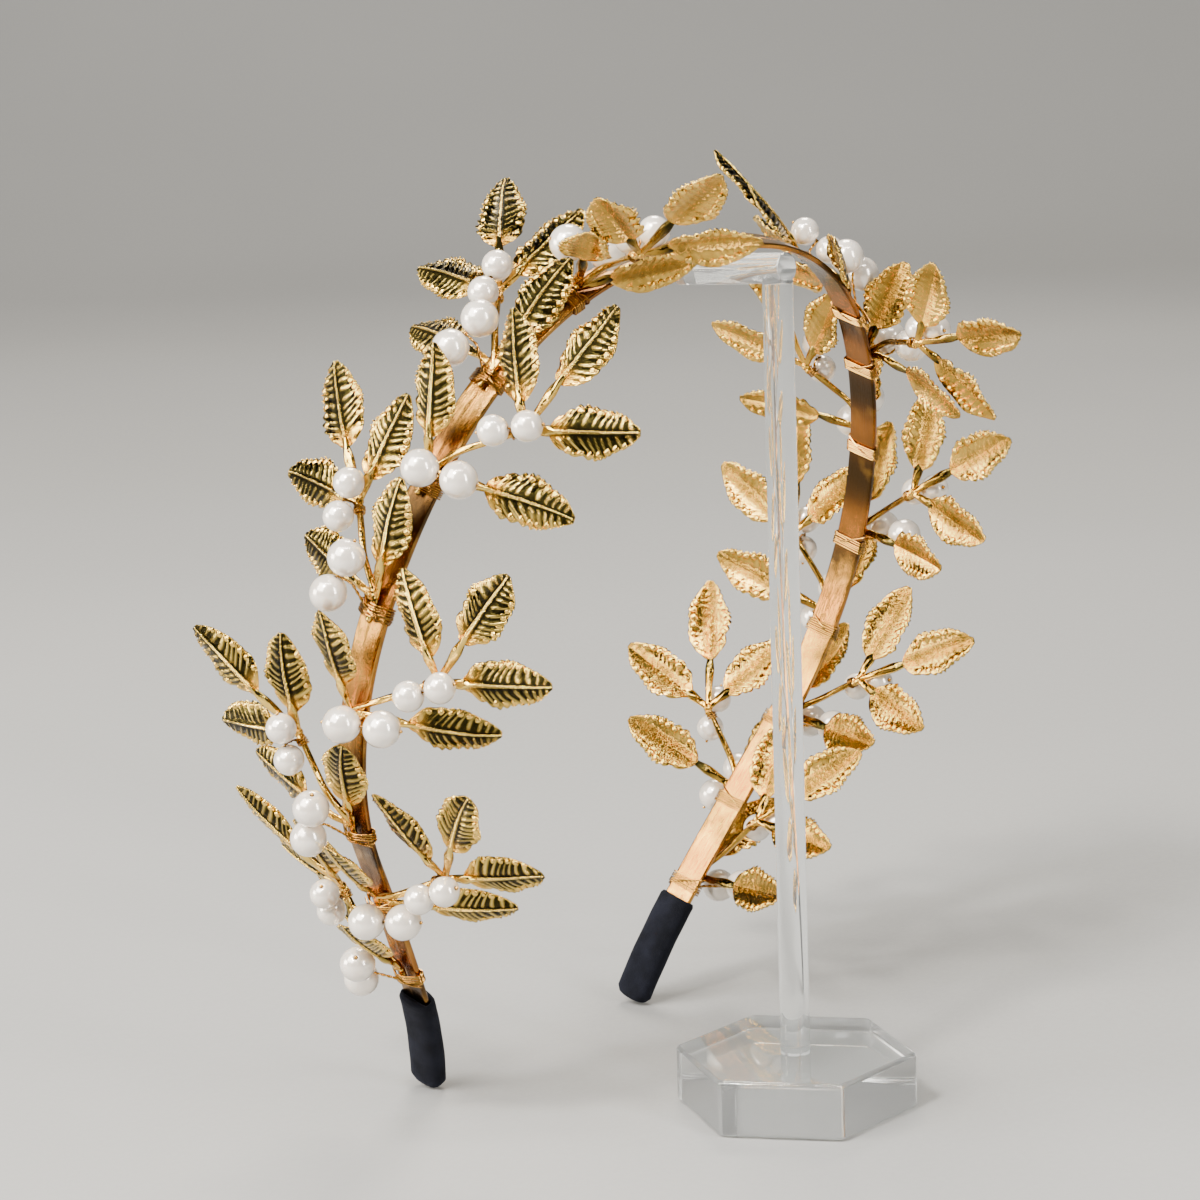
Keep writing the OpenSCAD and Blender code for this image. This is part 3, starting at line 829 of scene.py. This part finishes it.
def winding(seed):
    """Turns about band and foot: the loop gives y and z while x grows evenly, each turn a little off."""
    wobble = np.random.default_rng(seed)
    loop = np.concatenate([TIE_LOOP, [[0, -1.95]], TIE_LOOP[:0:-1] * [-1, 1]])
    knots = np.arange(len(loop) * WIND_TURNS + 1)
    path = loop[knots % len(loop)]
    starts = np.arange(WIND_TURNS + 1) * len(loop)
    slide = np.interp(knots, starts, wobble.uniform(-0.12, 0.12, WIND_TURNS + 1))
    x = TIE_AT + WIND_LEN * (knots / knots[-1] - 0.5) + slide
    out = 1 + 0.02 * wobble.random(len(knots))
    fine = np.linspace(0, knots[-1], 4 * knots[-1] + 1)
    return curve_through(knots, np.concatenate([x[:, None], path * out[:, None]], 1), fine)


def loose_turn(seed):
    """One slack turn that crosses the others aslant, with an end that sticks out past the band."""
    wobble = np.random.default_rng(seed)
    x0, x1 = -3.4 + 0.5 * wobble.random(), -0.3 + 0.5 * wobble.random()
    high = 1.15 + 0.15 * wobble.random()
    corners = [[x0, -3.6, -0.2], [x0 + 0.3, -2.2, 0.7], [TIE_AT, 0, high], [x1, 2.9, -0.4], [x1, 3.3, -1.5],
               [(x0 + x1) / 2, 0, -2.25], [x0, -3.25, -1.6], [x0 - 0.2, -3.1, -0.5],
               [x0 + 0.6, -1.0, high - 0.1]]
    return rounded(corners, 0.9, 6)


def twisted(path, apart, pitch):
    """Two strands about a path: it is moved sideways by apart, turning once for each pitch of length."""
    way = unit(np.gradient(path, axis=0))
    across = unit(np.cross(way, [0.31, 0.2, 0.93]))
    up = np.cross(way, across)
    run = run_of(path)
    a = 2 * pi * run / pitch
    side = np.cos(a)[:, None] * across + np.sin(a)[:, None] * up
    return [path + apart * side, path - apart * side]


def thread(at, axis, diameter, tie):
    """The wire through a pair of pearls, a knot at each end, and its two strands twisted down to a tie."""
    reach = (diameter + PAIR_GAP) / 2 + diameter / 2 + 0.12
    across = unit((tie - at) - np.dot(tie - at, axis) * axis)
    bar = np.linspace(at - reach * axis, at + reach * axis, 3)
    through = tube(bar, WIRE_D / 2, across, WIND_SIDES, tone=0.9)
    drop = at + (diameter / 2 - 0.4) * across
    tail = even(rounded([at, drop, tie], 0.5), 0.4)
    strands = [tube(strand, WIRE_D / 2, across, WIND_SIDES, tone=0.75) for strand in twisted(tail, 0.13, 2.2)]
    knots = balls(bar[[0, -1]], 0.27, 5, 8, tone=1.0)
    return joined([through, knots] + strands)


def stem_ring(row, seed):
    """Three turns about the stem just short of the fork, and the point where the thread meets them."""
    fork, bend = swing(FORK, row.stem), swing(BEND, row.stem)
    back = unit(bend - fork)
    middle = fork + RING_BACK * back
    radius = STEM_D / 2 + GAP + WIRE_D / 2
    lift = small_place(row) - middle
    up = unit(lift - np.dot(lift, back) * back)
    side = np.cross(back, up)
    turns = np.linspace(0, 3, 49)[:, None]
    a = 2 * pi * turns
    wobble = 1 + 0.05 * np.sin(2.3 * a + seed)
    path = middle + back * (turns - 1.5) * 0.42 + radius * wobble * (np.cos(a) * up + np.sin(a) * side)
    return path, middle + (radius + GAP) * up, back


for i, row in enumerate(SPRIGS):
    foot, spring = sprig_foot(row), bent(row)
    tie = carried(np.linalg.inv(spring) @ foot, [TIE_AT, 0, TIE_TOP])
    ring, ring_top, back = stem_ring(row, i)
    on_foot = joined([tube(winding(i), WIRE_D / 2, (1, 0, 0), WIND_SIDES, tone=0.8),
                      tube(loose_turn(i + 50), WIRE_D / 2, (1, 0, 0), WIND_SIDES, tone=0.9)])
    sprung = joined([thread(BIG_AT, pair_axis(row.big), BIG_D, tie),
                     thread(small_place(row), pair_axis(row.small), SMALL_D, ring_top),
                     tube(ring, WIRE_D / 2, back, WIND_SIDES, tone=0.8)])
    wires = joined([moved(on_foot, foot), moved(sprung, spring)])
    piece(f"wires_{i + 1}", wires, WIRE_GOLD)
print("wire of sprig 16:", triangles(wires), "triangles")

# %% [markdown]
# The hoop is one strip of metal. Its section, a rectangle with rounded corners, is carried along the arcs
# from tip to tip, and the lengths along and around it are the strip's own map for the brushing. It is painted
# darker as shade, most on the right arch and a little on the left half, and stained beside each foot.

# %% The band
BAND_STEPS, CORNER = 300, 0.3
# painted shade on the band: how dark, where and how wide on the right arch, and on the left half
BAND_SHADE, SHADE_AT, SHADE_OVER, LEFT_SHADE, LEFT_OVER = 0.8, 72, 42, 0.35, 12
STAIN, STAIN_OVER = 0.8, 4


def rounded_box(high, wide, corner):
    """Points of a rectangle with round corners, outwards by towards the front."""
    a = np.linspace(0, pi / 2, 4)
    quarter = corner * stacked(np.cos(a), np.sin(a)) + [high / 2 - corner, wide / 2 - corner]
    side = stacked(high / 2, np.linspace(0, wide / 2 - corner, 4, False))
    top = np.concatenate([side, quarter])
    half = np.concatenate([top, top[:0:-1] * [-1, 1]])
    return np.concatenate([half, half[::-1] * [1, -1]])[:-1]


section = rounded_box(BAND_T, BAND_W, CORNER)
length = np.linspace(-HALF_LEN, HALF_LEN, BAND_STEPS + 1)[:, None]
rings = band_points(length, section[:, 0], section[:, 1])
# painted shade: darkest on the right arch, and a little over the whole left half
painted_shade = BAND_SHADE * np.exp(-((length - SHADE_AT) / SHADE_OVER) ** 2)
painted_shade = painted_shade + LEFT_SHADE / (1 + np.exp(length / LEFT_OVER))
tone = 0.75 + 0.15 * np.sin(length / 9) - painted_shade
near_foot = np.abs(length - [row.half * (row.start + TIE_AT) for row in SPRIGS]).min(1)[:, None]
stain = STAIN * np.exp(-(near_foot / STAIN_OVER) ** 2)
piece("band", skin(rings, tone, stain, stacked(length, run_of(section))), BAND_GOLD)
print("band:", round(2 * HALF_LEN), "mm of strip,", len(section), "points round it")

# %% [markdown]
# Each tip wears a velvet sleeve, pulled on over the bare end. It is soft, so its outline is a fat oval that
# sags a little along its length, and the cloth gathers in shallow creases near the mouth.

# %% The velvet covers
COVER_ROUND, COVER_POINTS, CREASE, SAG = 2.6, 48, 0.012, 0.010
COVER_TURN = 2 * pi * np.arange(COVER_POINTS) / COVER_POINTS


def oval(high, wide, power):
    """Points of an oval: |y / a|^power + |x / b|^power = 1, rounder than a rectangle."""
    c, s = np.cos(COVER_TURN), np.sin(COVER_TURN)
    size = (np.abs(c) ** power + np.abs(s) ** power) ** (-1 / power)
    return stacked(high / 2 * c * size, wide / 2 * s * size)


def velvet_cover(half):
    """Rings outside from the foot to the mouth, then back down the pocket that holds the band."""
    knots = [COVER_FOOT, COVER_FOOT - 0.35, COVER_FOOT - 1.3, -4, -9, -13, -COVER_LEN + 0.6, -COVER_LEN]
    sizes = [0.55, 0.80, 0.98, 1.0, 0.985, 0.995, 1.0, 0.92]
    past = np.concatenate([COVER_FOOT - 1.3 * np.linspace(0, 1, 8) ** 1.5,
                           np.linspace(COVER_FOOT - 1.7, -COVER_LEN + 0.6, 44),
                           [-COVER_LEN + 0.25, -COVER_LEN]])
    size = np.interp(past, knots[::-1], sizes[::-1])[:, None]
    crease = CREASE * np.sin(5 * COVER_TURN + 0.7 * past[:, None])
    crease = crease * np.exp(-((past[:, None] + COVER_LEN) / 5.0) ** 2)
    sag = SAG * np.sin(2 * COVER_TURN + past[:, None] / 2.5)
    shape = oval(COVER_T, COVER_W, COVER_ROUND)
    outside = shape[None] * (size * (1 - np.abs(crease) - np.abs(sag)))[..., None]
    depth = np.array([-COVER_LEN + 0.15, -COVER_LEN + 0.6, -12, -6, 0.1])
    pocket = np.broadcast_to(oval(BAND_T + 2.5 * GAP, BAND_W + 2.5 * GAP, 8), (len(depth), COVER_POINTS, 2))
    past, points = np.concatenate([past, depth]), np.concatenate([outside, pocket])
    rings = band_points((half * (HALF_LEN + past))[:, None], points[..., 0], points[..., 1])
    return skin(rings if half > 0 else rings[:, ::-1])


for name, half in (("tip_cover_left", -1), ("tip_cover_right", 1)):
    piece(name, velvet_cover(half), VELVET)
print("covers reach", COVER_FOOT, "mm past the band")

# %% [markdown]
# The stand is three clear acrylic pieces: a thick hexagonal block, a round post and a round arm. Clear
# plastic shows by its edges, so the block's and the arm's edges get a small polished bevel, and the faces
# between stay flat. The post's glued foot in the socket is frosted.

# %% The clear stand
BEVEL, BASE_CORNER = 0.7, 1.6
LEAN, DROOP = np.radians(HOOP_LEAN), np.radians(ARM_DROOP)
# the edge of the band that rests on the arm
EDGE_Z = (CROWN_UP - BAND_T / 2) * np.cos(LEAN) - BAND_W / 2 * np.sin(LEAN)
EDGE_Y = TIP_BACK - (CROWN_UP - BAND_T / 2) * np.sin(LEAN) - BAND_W / 2 * np.cos(LEAN)
ARM_Z = EDGE_Z + EDGE_Y * np.tan(DROOP) - ROD_D / 2 / np.cos(DROOP) - GAP


def hexagon(apothem, corner):
    """Points of a hexagon with round corners of a radius, anticlockwise from above."""
    middle = (apothem - corner) / np.cos(pi / 6)
    at = BASE_TURN * pi / 180 + np.arange(6)[:, None] * pi / 3
    a = at + np.linspace(-pi / 6, pi / 6, 5)
    x, y = middle * np.cos(at) + corner * np.cos(a), middle * np.sin(at) + corner * np.sin(a)
    return stacked(x, y).reshape(-1, 2)


def level(outline, z):
    """A flat ring at a height."""
    return np.column_stack([outline, np.full(len(outline), z)])


def base_block():
    """Rings up the outside of the block, over its bevel, in to the socket and down it."""
    flat = BASE_R * np.cos(pi / 6)
    a = np.linspace(0, pi / 2, 6)
    rise, cut = BEVEL * (1 - np.cos(a)), BEVEL * (1 - np.sin(a))
    heights = np.concatenate([[0], rise, BASE_H - rise[::-1], [BASE_H]])
    insets = np.concatenate([[BEVEL + 0.1], cut, cut[::-1], [BEVEL + 0.1]])
    rings = [level(hexagon(flat - inset, BASE_CORNER - inset), z) for z, inset in zip(heights, insets)]
    circle, wide = unit(hexagon(flat, BASE_CORNER)), ROD_D / 2 + GAP
    socket = ((wide + 0.15, 0), (wide, 0.15), (wide, SOCKET - 0.1), (wide - 0.1, SOCKET))
    rings += [level(circle * radius, BASE_H - deep) for radius, deep in socket]
    return skin(np.array(rings))


def rod_rings(radius, z, around=48):
    """Rings of given radii and heights about Z."""
    a = 2 * pi * np.arange(around) / around
    radius = np.reshape(radius, (-1, 1))
    return stacked(radius * np.cos(a), radius * np.sin(a), np.reshape(z, (-1, 1)))


def post():
    """A rod from the socket up to the arm; its top is cut by a cylinder round the arm's axis."""
    r, low = ROD_D / 2, BASE_H - SOCKET + GAP
    side = rod_rings([r - 0.15, r, r, r, r], [low, low + 0.15, BASE_H - 0.1, ARM_Z - 8, ARM_Z - 4])
    top = rod_rings([r, r - 0.02, r * 0.95, r * 0.8, r * 0.6, r * 0.4, r * 0.2], np.zeros(7))
    hollow = np.sqrt((r + GAP) ** 2 - top[..., 0] ** 2) / np.cos(DROOP)
    top[..., 2] = ARM_Z - top[..., 1] * np.tan(DROOP) - hollow
    return skin(np.concatenate([side, top]))


def arm():
    """A rod from front to back through the top of the post, drooping towards its far end."""
    r, length = ROD_D / 2, ARM_BACK + ARM_FRONT
    inset, step = np.array([0.3, 0.25, 0.08, 0, 0]), np.array([0, 0, 0.08, 0.25, 0.3])
    size = r - np.concatenate([inset, inset[::-1]])
    place = np.concatenate([step, length - step[::-1]]) - ARM_BACK
    return moved(skin(rod_rings(size, place)), placed(turn("X", 90 - ARM_DROOP), (0, 0, ARM_Z)))


piece("stand_base", base_block(), ACRYLIC, 28)
post_look = piece("stand_post", post(), ACRYLIC, 35)
post_look.data.materials.append(GLUED)
centres = np.zeros(3 * len(post_look.data.polygons))
post_look.data.polygons.foreach_get("center", centres)
glued = centres[2::3] < BASE_H * MM
post_look.data.polygons.foreach_set("material_index", glued.astype(np.int32))
piece("stand_arm", arm(), ACRYLIC, 28)
print("the arm's middle is", round(float(ARM_Z), 2), "mm up")

# %% [markdown]
# A plain pale floor rises behind the object in one soft curve. Gold shows what it mirrors, so the room is
# kept dim. A large soft box stands high on the left with a small hard key beside it, a low wing reaches the
# backs of the far leaves, two narrow bars draw long highlights, and a warm light behind gives a rim.

# %% Floor, sweep and light
SWEEP_FAR, SWEEP_R, SWEEP_UP, SWEEP_WIDE = 1.1, 0.5, 1.6, 2.4


def sweep():
    """A floor that turns up along a quarter circle, square to the camera."""
    a = np.linspace(0, pi / 2, 16)
    depth = np.concatenate([[-1.6], SWEEP_FAR + SWEEP_R * np.sin(a), [SWEEP_FAR + SWEEP_R]])
    height = np.concatenate([[0], SWEEP_R * (1 - np.cos(a)), [SWEEP_UP]]) - 0.0003
    way = turn("Z", CAMERA_HEADING) @ [0, 1, 0]
    side = turn("Z", CAMERA_HEADING) @ [1, 0, 0]
    rows = depth[:, None] * way + height[:, None] * [0, 0, 1]
    points = np.concatenate([rows - SWEEP_WIDE * side, rows + SWEEP_WIDE * side])
    n = len(rows)
    faces = [(k, k + n, k + n + 1, k + 1) for k in range(n - 1)]
    mesh = bpy.data.meshes.new("floor")
    mesh.from_pydata(points.tolist(), [], faces)
    mesh.polygons.foreach_set("use_smooth", np.ones(len(faces), bool))
    return linked("floor", mesh)


floor = sweep()
PAPER, tree, shader = surface("pale paper")
pale = blend(tree, span(tree, noise(tree, 3.0), 0.3, 0.7), (0.31, 0.31, 0.305, 1), (0.34, 0.34, 0.335, 1))
plug(tree, shader, Base_Color=pale, Roughness=span(tree, noise(tree, 900.0, 3.0), 0.3, 0.7, 0.6, 0.75))
floor.data.materials.append(PAPER)
MIDDLE = np.array([0, 0.03, 0.08])


def panel(name, at, wide, high, watts, colour):
    """A rectangular light at a place, aimed at the middle of the hoop."""
    data = bpy.data.lights.new(name, "AREA")
    data.shape, data.size, data.size_y, data.energy, data.color = "RECTANGLE", wide, high, watts, colour
    z = unit(np.asarray(at, float) - MIDDLE)
    x = unit(np.cross([0, 0, 1], z))
    linked(name, data).matrix_world = Matrix(placed(stacked(x, np.cross(z, x), z), at).tolist())


for row in (
    # name, place, width, height, watts, colour
    ("soft box", (-0.80, 0.22, 0.80), 0.80, 0.80, 33, (1.0, 0.97, 0.92)),
    ("key", (-0.72, -0.05, 0.95), 0.12, 0.12, 13, (1.0, 0.95, 0.88)),
    ("wing", (-0.80, 0.80, 0.24), 0.50, 0.35, 11, (1.0, 0.94, 0.84)),
    ("right bar", (-0.10, -1.00, 0.45), 0.10, 0.70, 9, (1.0, 0.97, 0.92)),
    ("rim", (0.60, 0.45, 1.00), 0.35, 0.35, 11, (1.0, 0.93, 0.82)),
    ("top bar", (-0.30, -0.25, 1.10), 0.70, 0.05, 6, (1.0, 0.97, 0.92)),
):
    panel(*row)
world = bpy.data.worlds.new("room")
world.use_nodes = True
plug(world.node_tree, world.node_tree.nodes["Background"], Color=(0.52, 0.55, 0.58, 1), Strength=0.10)
bpy.context.scene.world = world
